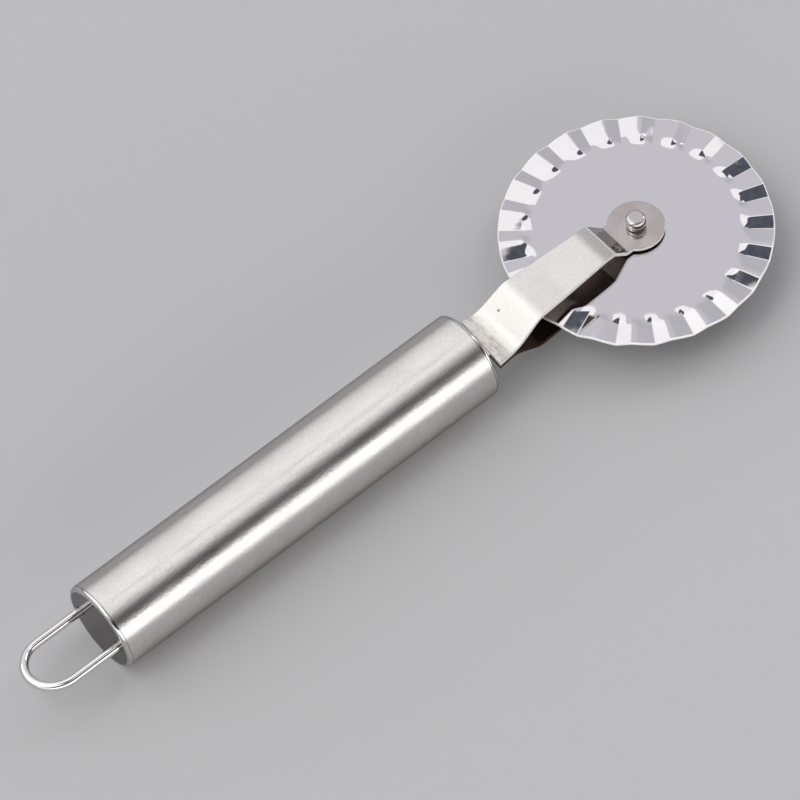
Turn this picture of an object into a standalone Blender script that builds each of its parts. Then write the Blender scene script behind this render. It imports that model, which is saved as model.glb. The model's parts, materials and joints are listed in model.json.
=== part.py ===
"""Pizza cutter: a fluted wheel on a rivet, a fork of two bent strips and a hollow round handle with a hanging loop.

Units are metres, +Z is up. The tool lies along X with the wheel at +X and stands on z = 0, on the lowest flat of
its handle. Shapes are drawn from the hub: x counts from the axle, z from the handle's axis. An empty at the hub
carries them all.
"""

from math import acos, cos, pi, radians, sin, sqrt, tan

import bmesh
import bpy
from mathutils import Matrix, Vector

# Wheel
WHEEL_RADIUS = 0.0300
WHEEL_THICKNESS = 0.0007
WHEEL_EDGE_THICKNESS = 0.0003
EDGE_BEVEL_LENGTH = 0.0006
FLUTE_COUNT = 22
FLUTE_HEIGHT = 0.00042
FLUTE_LENGTH = 0.0076
FLUTE_NOSE_LENGTH = 0.0027
FLUTE_RISE_SHARE = 0.42
FLUTE_PHASE = radians(13.9)

# Axle
RIVET_SHANK_RADIUS = 0.0018
RIVET_NECK_RADIUS = 0.00213
RIVET_NECK_HEIGHT = 0.0012
RIVET_HEAD_RADIUS = 0.00225
RIVET_HEAD_HEIGHT = 0.0018
RIVET_HEAD_CHAMFER = 0.00075
LOW_HEAD_RADIUS = 0.0027
LOW_HEAD_HEIGHT = 0.0011
AXLE_CLEARANCE = 0.00008
WASHER_RADIUS = 0.0042
WASHER_THICKNESS = 0.0004
FACE_GAP = 0.0001

# Fork: the first three are lengths past the wheel's rim, and heights are those of the middle of the strip
RIM_TO_HANDLE = 0.0173
RIM_TO_ROOT_BEND = 0.0095
RIM_TO_RISE_BEND = 0.0026
ARM_THICKNESS = 0.0009
ARM_CREST_WIDTH = 0.0096
ARM_FOLD_WIDTH = 0.0087
ARM_ROOT_WIDTH = 0.01388
EYE_RADIUS = 0.00634
TANG_WIDTH = 0.0068
TANG_LENGTH = 0.0120
ROOT_TO_HANDLE = 0.0031
ROOT_SKEW = 0.00052
SAG_REACH = 0.0245
CROWN_REACH = 0.0128
CREST_REACH = 0.0101
FOLD_REACH = 0.0062
RISE_HEIGHT = 0.00504
SAG_HEIGHT = 0.00514
CROWN_HEIGHT = 0.00560
CREST_HEIGHT = 0.00538
ROOT_BEND_RADIUS = 0.0050
SAG_BEND_RADIUS = 0.0600
CROWN_BEND_RADIUS = 0.0200
CREST_BEND_RADIUS = 0.0009

# Handle
TUBE_RADIUS = 0.01014
TUBE_WALL = 0.0010
TUBE_LENGTH = 0.0995
TUBE_SIDES = 24
FRONT_SHOULDER_LENGTH = 0.0010
FRONT_SHOULDER_DEPTH = 0.0014
REAR_SHOULDER_LENGTH = 0.0008
REAR_SHOULDER_DEPTH = 0.0009
CAP_WALL = 0.0009
SKIRT_LENGTH = 0.0050
SEAM = 0.0001
FIT = 0.0002

# Hanging loop
WIRE_RADIUS = 0.0010
LEG_TO_SKIRT = 0.00044
LOOP_REACH = 0.0192
LEG_IN_CAP = 0.0060
LOOP_ROLL = radians(-9.0)

# Fineness and cutting
ROUND_SIDES = 48
WIRE_SIDES_RESOLUTION = 4
BEND_STEPS = 5
SHOULDER_STEPS = 4
EYE_STEPS = 20
LOOP_STEPS = 20
OVERRUN = 0.0010
SHARP_ANGLE = radians(35)

# Worked out from the values above
HUB_TO_HANDLE = WHEEL_RADIUS + RIM_TO_HANDLE
ROOT_BEND_REACH = WHEEL_RADIUS + RIM_TO_ROOT_BEND
RISE_BEND_REACH = WHEEL_RADIUS + RIM_TO_RISE_BEND
FRONT_FACE_X = -HUB_TO_HANDLE
TUBE_FRONT_X = FRONT_FACE_X - FRONT_SHOULDER_LENGTH - SEAM
TUBE_REAR_X = TUBE_FRONT_X - TUBE_LENGTH
REAR_FACE_X = TUBE_REAR_X - SEAM - REAR_SHOULDER_LENGTH
TUBE_BORE_RADIUS = TUBE_RADIUS - TUBE_WALL
SKIRT_RADIUS = TUBE_BORE_RADIUS - FIT
SKIRT_BORE_RADIUS = SKIRT_RADIUS - CAP_WALL
SLOT_WIDTH = TANG_WIDTH + 2 * FIT
LOOP_HALF_WIDTH = SKIRT_BORE_RADIUS - LEG_TO_SKIRT - WIRE_RADIUS
LOOP_END_X = REAR_FACE_X - LOOP_REACH
LOOP_CENTRE_X = LOOP_END_X + WIRE_RADIUS + LOOP_HALF_WIDTH
HUB_X = -(LOOP_END_X + WHEEL_RADIUS) / 2
AXIS_HEIGHT = TUBE_RADIUS
AXLE_HOLE_RADIUS = RIVET_SHANK_RADIUS + AXLE_CLEARANCE
WASHER_LOW_Z = WHEEL_THICKNESS / 2 + FACE_GAP
EYE_LOW_Z = WASHER_LOW_Z + WASHER_THICKNESS + FACE_GAP
EYE_HEIGHT = EYE_LOW_Z + ARM_THICKNESS / 2
TANG_HEIGHT = (FACE_GAP + ARM_THICKNESS) / 2
EYE_TOP_Z = EYE_LOW_Z + ARM_THICKNESS


def clear_scene():
    for obj in list(bpy.data.objects):
        bpy.data.objects.remove(obj, do_unlink=True)


def steel(name, colour, roughness):
    """A plain steel finish: its colour and how blurred its reflections are."""
    material = bpy.data.materials.new(name)
    material.use_nodes = True
    shader = material.node_tree.nodes["Principled BSDF"]
    shader.inputs["Base Color"].default_value = (*colour, 1.0)
    shader.inputs["Metallic"].default_value = 1.0
    shader.inputs["Roughness"].default_value = roughness
    return material


def mesh_object(name, bm, material, hub):
    """Turns a bmesh into a smooth-shaded object carried by the hub empty."""
    bmesh.ops.recalc_face_normals(bm, faces=bm.faces)
    if bm.calc_volume(signed=True) < 0:
        bmesh.ops.reverse_faces(bm, faces=bm.faces)
    mesh = bpy.data.meshes.new(name)
    bm.to_mesh(mesh)
    bm.free()
    mesh.shade_smooth()
    mesh.set_sharp_from_angle(angle=SHARP_ANGLE)
    obj = bpy.data.objects.new(name, mesh)
    bpy.context.scene.collection.objects.link(obj)
    if material is not None:
        mesh.materials.append(material)
    obj.parent = hub
    return obj


def cut(obj, cutter):
    """Takes the cutter's shape out of the object and hides the cutter."""
    cutter.hide_render = True
    cutter.display_type = "WIRE"
    modifier = obj.modifiers.new("cut", "BOOLEAN")
    modifier.operation = "DIFFERENCE"
    modifier.object = cutter


def cylinder_cutter(name, radius, low, high, turn, centre, hub):
    """A round cutter from low to high along its own Z, turned and moved into place."""
    bm = bmesh.new()
    bmesh.ops.create_cone(
        bm, cap_ends=True, segments=ROUND_SIDES, radius1=radius, radius2=radius, depth=high - low
    )
    bm.transform(Matrix.Translation(centre) @ turn @ Matrix.Translation((0, 0, (low + high) / 2)))
    return mesh_object(name, bm, None, hub)


def turned(outline, sides, along):
    """A bmesh turned from an outline of (place, radius) pairs, about X or Z.

    Where the outline starts on the axis it makes a solid, otherwise the outline is closed and makes a ring.
    Radii reach the middle of the flat sides, one of which faces straight down.
    """
    bm = bmesh.new()
    rings = []
    for place, radius in outline:
        if radius == 0:
            rings.append([bm.verts.new((place, 0, 0) if along == "X" else (0, 0, place))])
            continue
        ring = []
        for k in range(sides):
            angle = (k + 0.5) * 2 * pi / sides
            corner = radius / cos(pi / sides)
            a, b = corner * cos(angle), corner * sin(angle)
            ring.append(bm.verts.new((place, a, b) if along == "X" else (a, b, place)))
        rings.append(ring)
    is_solid = outline[0][1] == 0
    pairs = zip(rings, rings[1:] if is_solid else rings[1:] + rings[:1])
    for first, second in pairs:
        for k in range(sides):
            corners = (first[k % len(first)], first[(k + 1) % len(first)])
            corners += (second[(k + 1) % len(second)], second[k % len(second)])
            bm.faces.new(list(dict.fromkeys(corners)))
    return bm


def quarter_round(start, end, bulge_first):
    """Points of a quarter ellipse between two (place, radius) pairs, without its first one."""
    points = []
    for k in range(1, SHOULDER_STEPS + 1):
        turn = k / SHOULDER_STEPS * pi / 2
        going, coming = sin(turn), 1 - cos(turn)
        place_part, radius_part = (coming, going) if bulge_first else (going, coming)
        place = start[0] + (end[0] - start[0]) * place_part
        radius = start[1] + (end[1] - start[1]) * radius_part
        points.append((place, radius))
    return points


def flute_samples():
    """Shares of one flute's width and of its height, which runs from -1 to 1: a triangle wave with eased corners."""
    rise_share = FLUTE_RISE_SHARE
    fall_share = 1 - rise_share
    ease_share = 1 / 8
    eased_share = 1 - 2 * ease_share
    flute_shares = [
        (0, -1),
        (rise_share * ease_share, -eased_share),
        (rise_share - rise_share * ease_share, eased_share),
        (rise_share, 1),
        (rise_share + fall_share * ease_share, eased_share),
        (1 - fall_share * ease_share, -eased_share),
    ]
    return flute_shares


def flute_depth(radius):
    """How much of the flute's height is reached at this radius: none at the nose, all of it past the nose."""
    along = (radius - (WHEEL_RADIUS - FLUTE_LENGTH)) / FLUTE_NOSE_LENGTH
    along = min(max(along, 0.0), 1.0)
    return along * along * (3 - 2 * along)


def cutting_wheel(material, hub):
    """The disc, waved at its rim and thinned to an edge. Its origin is on the axle."""
    nose_start = WHEEL_RADIUS - FLUTE_LENGTH
    radii = [AXLE_HOLE_RADIUS, nose_start]
    radii += [nose_start + FLUTE_NOSE_LENGTH * k / 3 for k in (1, 2, 3)]
    radii += [WHEEL_RADIUS - EDGE_BEVEL_LENGTH, WHEEL_RADIUS]
    spokes = []
    for flute in range(FLUTE_COUNT):
        for share, height in flute_samples():
            angle = FLUTE_PHASE + (flute + share - FLUTE_RISE_SHARE) * 2 * pi / FLUTE_COUNT
            spokes.append((angle, height))
    bm = bmesh.new()
    faces = {}
    for side in (1, -1):
        for ring, radius in enumerate(radii):
            is_edge = ring == len(radii) - 1
            half = (WHEEL_EDGE_THICKNESS if is_edge else WHEEL_THICKNESS) / 2
            wave = FLUTE_HEIGHT * flute_depth(radius)
            faces[side, ring] = [
                bm.verts.new((radius * cos(angle), radius * sin(angle), wave * height + side * half))
                for angle, height in spokes
            ]
    last = len(radii) - 1
    bands = [((side, ring), (side, ring + 1)) for side in (1, -1) for ring in range(last)]
    bands += [((1, 0), (-1, 0)), ((1, last), (-1, last))]
    for inner, outer in bands:
        for k in range(len(spokes)):
            after = (k + 1) % len(spokes)
            a, b = faces[inner], faces[outer]
            bm.faces.new((a[k], a[after], b[after], b[k]))
    return mesh_object("cutting_wheel", bm, material, hub)


def bent_path(corners, bend_radii):
    """A path through (x, z) corners with each inner corner rounded, as points with their normals."""
    points = [Vector(corners[0])]
    for before, corner, after, radius in zip(corners, corners[1:], corners[2:], bend_radii):
        here = Vector(corner)
        back, ahead = (Vector(before) - here), (Vector(after) - here)
        back_unit, ahead_unit = back.normalized(), ahead.normalized()
        half_opening = acos(max(-1.0, min(1.0, back_unit.dot(ahead_unit)))) / 2
        most_share = 0.45
        reach = min(radius / tan(half_opening), most_share * back.length, most_share * ahead.length)
        radius = reach * tan(half_opening)
        centre = here + (back_unit + ahead_unit).normalized() * (radius / sin(half_opening))
        first = here + back_unit * reach - centre
        sweep = first.angle_signed(here + ahead_unit * reach - centre)
        for k in range(BEND_STEPS + 1):
            points.append(centre + Matrix.Rotation(-sweep * k / BEND_STEPS, 2) @ first)
    points.append(Vector(corners[-1]))
    path = []
    for k, point in enumerate(points):
        before, after = points[max(k - 1, 0)], points[min(k + 1, len(points) - 1)]
        slope = (after - before).normalized()
        path.append((point, Vector((-slope.y, slope.x))))
    return path


def arm_half_width(x):
    """Half of the strip's width at a distance from the hub: tapered strip, then the round eye."""
    taper = (-x - CREST_REACH) / (HUB_TO_HANDLE - CREST_REACH)
    width = ARM_CREST_WIDTH + (ARM_ROOT_WIDTH - ARM_CREST_WIDTH) * min(max(taper, 0.0), 1.0)
    if x > -CREST_REACH:
        along = min((x + CREST_REACH) / (CREST_REACH - FOLD_REACH), 1.0)
        width = ARM_CREST_WIDTH + (ARM_FOLD_WIDTH - ARM_CREST_WIDTH) * along
    eye = sqrt(max(EYE_RADIUS**2 - x**2, 0.0))
    return max(width / 2, eye) if x < 0 else eye


def arm_root(bm, side, row):
    """The flat end of a strip, from a row of its bent part: full width up to a straight cut, then the tang."""
    half_tang, half_root = TANG_WIDTH / 2, ARM_ROOT_WIDTH / 2
    cut_x, end_x = FRONT_FACE_X + ROOT_TO_HANDLE, FRONT_FACE_X - TANG_LENGTH
    slope = ROOT_SKEW / half_root
    plan = [(cut_x + slope * half_root, half_root), (cut_x + slope * half_tang, half_tang), (end_x, half_tang)]
    plan += [(end_x, -half_tang), (cut_x - slope * half_tang, -half_tang), (cut_x - slope * half_root, -half_root)]
    layers = []
    for face, far, near in ((1, row[0], row[1]), (-1, row[2], row[3])):
        z = side * (TANG_HEIGHT + face * ARM_THICKNESS / 2)
        layers.append([far] + [bm.verts.new((x, y, z)) for x, y in plan] + [near])
        bm.faces.new(layers[-1])
    top, bottom = layers
    for k in range(len(top) - 1):
        bm.faces.new((top[k], top[k + 1], bottom[k + 1], bottom[k]))


def fork_arm(name, side, material, hub):
    """One strip of the fork. Side is 1 for the arm above the wheel and -1 for the one below."""
    corners = [
        (FRONT_FACE_X, TANG_HEIGHT),
        (-ROOT_BEND_REACH, TANG_HEIGHT),
        (-RISE_BEND_REACH, RISE_HEIGHT),
        (-SAG_REACH, SAG_HEIGHT),
        (-CROWN_REACH, CROWN_HEIGHT),
        (-CREST_REACH, CREST_HEIGHT),
        (-FOLD_REACH, EYE_HEIGHT),
        (0, EYE_HEIGHT),
    ]
    bends = [ROOT_BEND_RADIUS, ROOT_BEND_RADIUS, SAG_BEND_RADIUS, CROWN_BEND_RADIUS]
    bends += [CREST_BEND_RADIUS, CREST_BEND_RADIUS]
    path = bent_path(corners, bends)[1:-1]
    neck = path[-1][0].x
    half_fold = ARM_FOLD_WIDTH / 2
    meeting = -sqrt(max(EYE_RADIUS**2 - half_fold**2, 0.0))
    start = acos(max(min(max(meeting, neck), EYE_RADIUS), -EYE_RADIUS) / EYE_RADIUS)
    up = Vector((0, 1))
    for k in range(EYE_STEPS):
        x = EYE_RADIUS * cos(start * (1 - k / EYE_STEPS))
        if x > neck:
            path.append((Vector((x, EYE_HEIGHT)), up))
    bm = bmesh.new()
    rows = []
    for point, normal in path:
        half = arm_half_width(point.x)
        row = []
        for face in (1, -1):
            spot = point + normal * (face * ARM_THICKNESS / 2)
            row += [bm.verts.new((spot.x, y, side * spot.y)) for y in (half, -half)]
        rows.append(row)
    tip = [bm.verts.new((EYE_RADIUS, 0, side * (EYE_HEIGHT + face * ARM_THICKNESS / 2))) for face in (1, -1)]
    for row, after in zip(rows, rows[1:]):
        bm.faces.new((row[0], row[1], after[1], after[0]))
        bm.faces.new((row[2], row[3], after[3], after[2]))
        bm.faces.new((row[0], row[2], after[2], after[0]))
        bm.faces.new((row[1], row[3], after[3], after[1]))
    arm_root(bm, side, rows[0])
    last = rows[-1]
    bm.faces.new((last[0], last[1], tip[0]))
    bm.faces.new((last[2], last[3], tip[1]))
    bm.faces.new((last[0], last[2], tip[1], tip[0]))
    bm.faces.new((last[1], last[3], tip[1], tip[0]))
    arm = mesh_object(name, bm, material, hub)
    low, high = sorted((side * (EYE_LOW_Z - OVERRUN), side * (EYE_TOP_Z + OVERRUN)))
    hole = cylinder_cutter(name + "_hole", AXLE_HOLE_RADIUS, low, high, Matrix(), (0, 0, 0), hub)
    cut(arm, hole)
    return arm


def axle_rivet(material, hub):
    """The rivet: a low head under the fork, a shank, and above the fork a stout neck with a wider button head."""
    head_low = EYE_TOP_Z + RIVET_NECK_HEIGHT
    head_top = head_low + RIVET_HEAD_HEIGHT
    head_base = -(EYE_TOP_Z + FACE_GAP)
    low_edge = LOW_HEAD_HEIGHT / 2
    outline = [(head_base - LOW_HEAD_HEIGHT, 0), (head_base - LOW_HEAD_HEIGHT, LOW_HEAD_RADIUS - low_edge)]
    outline += quarter_round(outline[-1], (head_base - low_edge, LOW_HEAD_RADIUS), True)
    outline += [(head_base, LOW_HEAD_RADIUS), (head_base, RIVET_SHANK_RADIUS)]
    neck_low = EYE_TOP_Z + FACE_GAP
    outline += [(neck_low, RIVET_SHANK_RADIUS), (neck_low, RIVET_NECK_RADIUS)]
    outline += [(head_low, RIVET_NECK_RADIUS), (head_low, RIVET_HEAD_RADIUS)]
    shoulder = (head_top - RIVET_HEAD_CHAMFER, RIVET_HEAD_RADIUS)
    outline.append(shoulder)
    outline += quarter_round(shoulder, (head_top, RIVET_HEAD_RADIUS - RIVET_HEAD_CHAMFER), False)
    outline.append((head_top, 0))
    return mesh_object("axle_rivet", turned(outline, ROUND_SIDES, "Z"), material, hub)


def spacer_washer(name, side, material, hub):
    """A thin washer between the wheel and one eye of the fork."""
    near, far = side * WASHER_LOW_Z, side * (WASHER_LOW_Z + WASHER_THICKNESS)
    outline = [(near, AXLE_HOLE_RADIUS), (near, WASHER_RADIUS), (far, WASHER_RADIUS), (far, AXLE_HOLE_RADIUS)]
    return mesh_object(name, turned(outline, ROUND_SIDES, "Z"), material, hub)


def handle_tube(material, hub):
    """The hollow grip, open at both ends."""
    outline = [(TUBE_FRONT_X, TUBE_BORE_RADIUS), (TUBE_FRONT_X, TUBE_RADIUS)]
    outline += [(TUBE_REAR_X, TUBE_RADIUS), (TUBE_REAR_X, TUBE_BORE_RADIUS)]
    return mesh_object("handle_tube", turned(outline, TUBE_SIDES, "X"), material, hub)


def end_cap(name, face_x, outwards, shoulder_length, shoulder_depth, material, hub):
    """A pressed cap: a flat face, a rounded shoulder flush with the tube, and a skirt inside it."""
    rim_x = face_x - outwards * shoulder_length
    floor_x = face_x - outwards * CAP_WALL
    skirt_x = rim_x - outwards * SKIRT_LENGTH
    face_radius = TUBE_RADIUS - shoulder_depth
    outline = [(face_x, 0), (face_x, face_radius)]
    outline += quarter_round((face_x, face_radius), (rim_x, TUBE_RADIUS), True)
    outline += [(rim_x, SKIRT_RADIUS), (skirt_x, SKIRT_RADIUS)]
    outline += [(skirt_x, SKIRT_BORE_RADIUS), (floor_x, SKIRT_BORE_RADIUS), (floor_x, 0)]
    return mesh_object(name, turned(outline, TUBE_SIDES, "X"), material, hub)


def front_cap(material, hub):
    """The cap towards the wheel, with a flat face and one slot for both tangs of the fork."""
    shoulder = (FRONT_SHOULDER_LENGTH, FRONT_SHOULDER_DEPTH)
    cap = end_cap("front_cap", FRONT_FACE_X, 1, *shoulder, material, hub)
    height = 2 * ARM_THICKNESS + FACE_GAP + 2 * FIT
    low, high = FRONT_FACE_X - CAP_WALL - OVERRUN, FRONT_FACE_X + OVERRUN
    bm = bmesh.new()
    bmesh.ops.create_cube(bm, size=1)
    bm.transform(Matrix.Diagonal((high - low, SLOT_WIDTH, height, 1)))
    bm.transform(Matrix.Translation(((low + high) / 2, 0, 0)))
    cut(cap, mesh_object("tang_slot", bm, None, hub))
    return cap


def rear_cap(material, hub):
    """The cap with the hanging loop, which has a hole for each leg of the wire."""
    shoulder = (REAR_SHOULDER_LENGTH, REAR_SHOULDER_DEPTH)
    cap = end_cap("rear_cap", REAR_FACE_X, -1, *shoulder, material, hub)
    turn = Matrix.Rotation(pi / 2, 4, "Y")
    low, high = REAR_FACE_X - OVERRUN, REAR_FACE_X + CAP_WALL + OVERRUN
    for side, word in ((1, "far"), (-1, "near")):
        centre = Matrix.Rotation(LOOP_ROLL, 4, "X") @ Vector((0, side * LOOP_HALF_WIDTH, 0))
        hole = cylinder_cutter(f"leg_hole_{word}", WIRE_RADIUS + FIT, low, high, turn, centre, hub)
        cut(cap, hole)
    return cap


def hanging_loop(material, hub):
    """The U of round wire: two straight legs and a half circle, rolled a little about the handle's axis."""
    leg_x = REAR_FACE_X + LEG_IN_CAP
    points = [(leg_x, LOOP_HALF_WIDTH, 0)]
    for k in range(LOOP_STEPS + 1):
        angle = pi / 2 + pi * k / LOOP_STEPS
        points.append((LOOP_CENTRE_X + LOOP_HALF_WIDTH * cos(angle), LOOP_HALF_WIDTH * sin(angle), 0))
    points.append((leg_x, -LOOP_HALF_WIDTH, 0))
    curve = bpy.data.curves.new("hanging_loop", "CURVE")
    curve.dimensions = "3D"
    curve.bevel_depth = WIRE_RADIUS
    curve.bevel_resolution = WIRE_SIDES_RESOLUTION
    curve.use_fill_caps = True
    spline = curve.splines.new("POLY")
    spline.points.add(len(points) - 1)
    for slot, point in zip(spline.points, points):
        slot.co = (*point, 1)
    spline.use_smooth = True
    curve.materials.append(material)
    loop = bpy.data.objects.new("hanging_loop", curve)
    bpy.context.scene.collection.objects.link(loop)
    loop.parent = hub
    loop.rotation_euler.x = LOOP_ROLL
    return loop


def main():
    clear_scene()
    hub = bpy.data.objects.new("hub", None)
    hub.location = (HUB_X, 0, AXIS_HEIGHT)
    bpy.context.scene.collection.objects.link(hub)
    mirror = steel("wheel_steel", (0.62, 0.60, 0.63), 0.06)
    satin = steel("arm_steel", (0.72, 0.70, 0.67), 0.32)
    brushed = steel("tube_steel", (0.66, 0.65, 0.64), 0.28)
    polished = steel("polished_steel", (0.68, 0.67, 0.66), 0.10)
    cutting_wheel(mirror, hub)
    fork_arm("fork_arm_upper", 1, satin, hub)
    fork_arm("fork_arm_lower", -1, satin, hub)
    axle_rivet(polished, hub)
    spacer_washer("spacer_washer_upper", 1, satin, hub)
    spacer_washer("spacer_washer_lower", -1, satin, hub)
    handle_tube(brushed, hub)
    front_cap(polished, hub)
    rear_cap(polished, hub)
    hanging_loop(polished, hub)
    print(f"hub at x {HUB_X:.5f}, axis {AXIS_HEIGHT:.5f} above the floor")
    print(f"length {WHEEL_RADIUS - LOOP_END_X:.4f}, eye top {EYE_TOP_Z:.5f} over the wheel's plane")


main()
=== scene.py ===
# %% [markdown]
# # A pizza cutter in four steels
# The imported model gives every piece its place: a fluted wheel on a rivet, a fork of two bent strips and a hollow
# round handle with a hanging loop. Its solids are plain, with a round tube made of flat sides. This lesson builds
# each piece again with fine curves and rounded edges, in the same place and inside the same box, and gives each its
# own steel. All lengths are in metres, and all places are counted from the hub, the middle of the wheel.

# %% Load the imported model
import json
from math import acos, atan2, cos, pi, radians, sin, sqrt, tan

import bmesh
import bpy
from mathutils import Matrix, Vector


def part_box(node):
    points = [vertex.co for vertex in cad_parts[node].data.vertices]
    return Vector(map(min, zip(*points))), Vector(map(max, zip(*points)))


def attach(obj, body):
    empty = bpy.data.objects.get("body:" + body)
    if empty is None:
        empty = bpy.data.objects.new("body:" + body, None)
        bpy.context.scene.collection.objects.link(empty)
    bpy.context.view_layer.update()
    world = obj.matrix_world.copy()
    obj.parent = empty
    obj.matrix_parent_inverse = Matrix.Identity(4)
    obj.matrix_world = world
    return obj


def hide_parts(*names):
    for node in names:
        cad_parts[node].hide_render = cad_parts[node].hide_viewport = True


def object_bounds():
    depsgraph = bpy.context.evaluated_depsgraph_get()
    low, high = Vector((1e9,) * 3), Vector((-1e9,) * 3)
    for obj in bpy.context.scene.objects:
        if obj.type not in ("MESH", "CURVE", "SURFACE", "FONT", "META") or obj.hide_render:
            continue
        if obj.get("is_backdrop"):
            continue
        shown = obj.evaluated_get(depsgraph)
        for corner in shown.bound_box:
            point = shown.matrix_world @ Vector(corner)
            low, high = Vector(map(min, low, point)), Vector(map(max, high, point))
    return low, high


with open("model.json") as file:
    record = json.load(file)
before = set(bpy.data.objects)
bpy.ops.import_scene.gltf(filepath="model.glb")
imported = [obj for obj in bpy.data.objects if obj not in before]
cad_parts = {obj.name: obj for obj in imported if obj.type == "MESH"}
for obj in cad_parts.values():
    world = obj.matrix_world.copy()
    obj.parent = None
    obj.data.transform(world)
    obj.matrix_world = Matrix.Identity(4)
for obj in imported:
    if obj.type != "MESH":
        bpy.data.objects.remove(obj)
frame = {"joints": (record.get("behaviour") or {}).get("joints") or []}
cad_box = [list(corner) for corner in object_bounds()]
hub = Vector(frame["joints"][0]["pos_m"])
print("CAD box in mm:", [[round(value * 1000, 2) for value in corner] for corner in cad_box])
print("hub in mm:", [round(value * 1000, 2) for value in hub])

# %% [markdown]
# ## Small helpers for node trees
# A node tree written out line by line is long and hard to read. Two helpers keep it short: one adds a node, sets
# its options and feeds its inputs, the other does the same for a single sum. Both work in shader trees and in
# geometry trees, because these share their Math nodes.


# %% Add a node, or a sum
def add(tree, kind, feeds=(), **options):
    """Adds a node. Feeds are sockets or plain values, in order or by input name."""
    node = tree.nodes.new(kind)
    for name, value in options.items():
        setattr(node, name, value)
    for key, value in feeds.items() if isinstance(feeds, dict) else enumerate(feeds):
        if isinstance(value, bpy.types.NodeSocket):
            tree.links.new(value, node.inputs[key])
        elif value is not None:
            node.inputs[key].default_value = value
    return node


def sum_of(tree, operation, *values):
    """One Math node's result."""
    return add(tree, "ShaderNodeMath", values, operation=operation).outputs[0]


def mapped(tree, value, low, high, to_low=0.0, to_high=1.0, kind="SMOOTHSTEP"):
    """A value moved from one range to another and held inside it."""
    feeds = (value, low, high, to_low, to_high)
    return add(tree, "ShaderNodeMapRange", feeds, interpolation_type=kind).outputs[0]


def new_group(name, kind, inputs, outputs):
    """A node group with named sockets. Inputs are (name, socket type, default) and outputs (name, socket type)."""
    tree = bpy.data.node_groups.new(name, kind)
    for label, socket_type, default in inputs:
        socket = tree.interface.new_socket(label, in_out="INPUT", socket_type="NodeSocket" + socket_type)
        if default is not None:
            socket.default_value = default
    for label, socket_type in outputs:
        tree.interface.new_socket(label, in_out="OUTPUT", socket_type="NodeSocket" + socket_type)
    return tree, tree.nodes.new("NodeGroupInput").outputs, tree.nodes.new("NodeGroupOutput").inputs


print("helpers ready")

# %% [markdown]
# ## Surface effects shared by the steels
# Rolled, brushed and polished steel differ in the same three things: fine lines that the grinding left, stray
# hairline scratches from use, and soft patches from handling. Each effect is a node group with named inputs, so that
# every steel sets its own scale and strength. The lines are noise that is squeezed along one direction and stretched
# along the others. Stretch says how many waves of it fit in a metre each way.


# %% The groups for grinding lines, scratches and smudges
SCRATCH_TURNS = ((0.5, 0.0), (-0.9, 7.3), (1.7, 3.1))  # the turn of each set of scratches, and where its noise starts
SCRATCH_STRETCH = (1.0, 26.0, 26.0)


def grinding_lines():
    """Noise drawn out into lines. The height is between 0 and 1."""
    inputs = [("Position", "Vector", None), ("Stretch", "Vector", (1.0, 1.0, 1.0)), ("Detail", "Float", 3.0)]
    tree, given, result = new_group("grinding lines", "ShaderNodeTree", inputs, [("Height", "Float")])
    squeezed = add(tree, "ShaderNodeVectorMath", (given[0], given[1]), operation="MULTIPLY").outputs[0]
    feeds = {"Vector": squeezed, "Scale": 1.0, "Detail": given[2], "Roughness": 0.6}
    noise = add(tree, "ShaderNodeTexNoise", feeds)
    tree.links.new(mapped(tree, noise.outputs[0], 0.25, 0.75, kind="LINEAR"), result[0])
    return tree


def hairlines():
    """Thin scratches in three crossing directions. The mask is 1 on a scratch and 0 elsewhere."""
    inputs = [("Position", "Vector", None), ("Size", "Float", 0.01), ("Amount", "Float", 0.5)]
    tree, given, result = new_group("hairlines", "ShaderNodeTree", inputs, [("Mask", "Float")])
    scale = sum_of(tree, "DIVIDE", 1.0, given[1])
    whole = None
    for turn, start in SCRATCH_TURNS:
        placed = add(tree, "ShaderNodeVectorMath", (given[0], (start, start, start)), operation="ADD").outputs[0]
        feeds = {"Vector": placed, "Rotation": (turn * 0.7, turn * 0.4, turn)}
        leaning = add(tree, "ShaderNodeMapping", feeds).outputs[0]
        scaled = add(tree, "ShaderNodeVectorMath", {0: leaning, 3: scale}, operation="SCALE").outputs[0]
        thin = add(tree, "ShaderNodeVectorMath", (scaled, SCRATCH_STRETCH), operation="MULTIPLY").outputs[0]
        noise = add(tree, "ShaderNodeTexNoise", {"Vector": thin, "Scale": 1.0, "Detail": 1.0}).outputs[0]
        mask = mapped(tree, noise, 0.70, 0.76)
        whole = mask if whole is None else sum_of(tree, "MAXIMUM", whole, mask)
    tree.links.new(sum_of(tree, "MULTIPLY", whole, given[2]), result[0])
    return tree


def smudges():
    """Wide soft patches where hands and wiping changed the polish."""
    inputs = [("Position", "Vector", None), ("Size", "Float", 0.02), ("Clean", "Float", 0.0), ("Dull", "Float", 1.0)]
    tree, given, result = new_group("smudges", "ShaderNodeTree", inputs, [("Value", "Float")])
    scale = sum_of(tree, "DIVIDE", 1.0, given[1])
    noise = add(tree, "ShaderNodeTexNoise", {"Vector": given[0], "Scale": scale, "Detail": 2.0}).outputs[0]
    tree.links.new(mapped(tree, noise, 0.3, 0.7, given[2], given[3]), result[0])
    return tree


lines_group, hairline_group, smudge_group = grinding_lines(), hairlines(), smudges()
print("groups:", [group.name for group in (lines_group, hairline_group, smudge_group)])

# %% [markdown]
# ## A steel to start from
# Every finish begins the same way: a Principled shader with Metallic at 1, a base colour for how much light the
# steel sends back, and a darker edge tint, which keeps bright rims from forming where the eye grazes the surface.
# Object coordinates are given from the hub, so that a pattern can be placed on a piece by the same distances as its
# shape. Bumps are stated in microns, because lines and scratches are no deeper than that.


# %% A steel material and its helpers
MICRON = 0.000001


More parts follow.
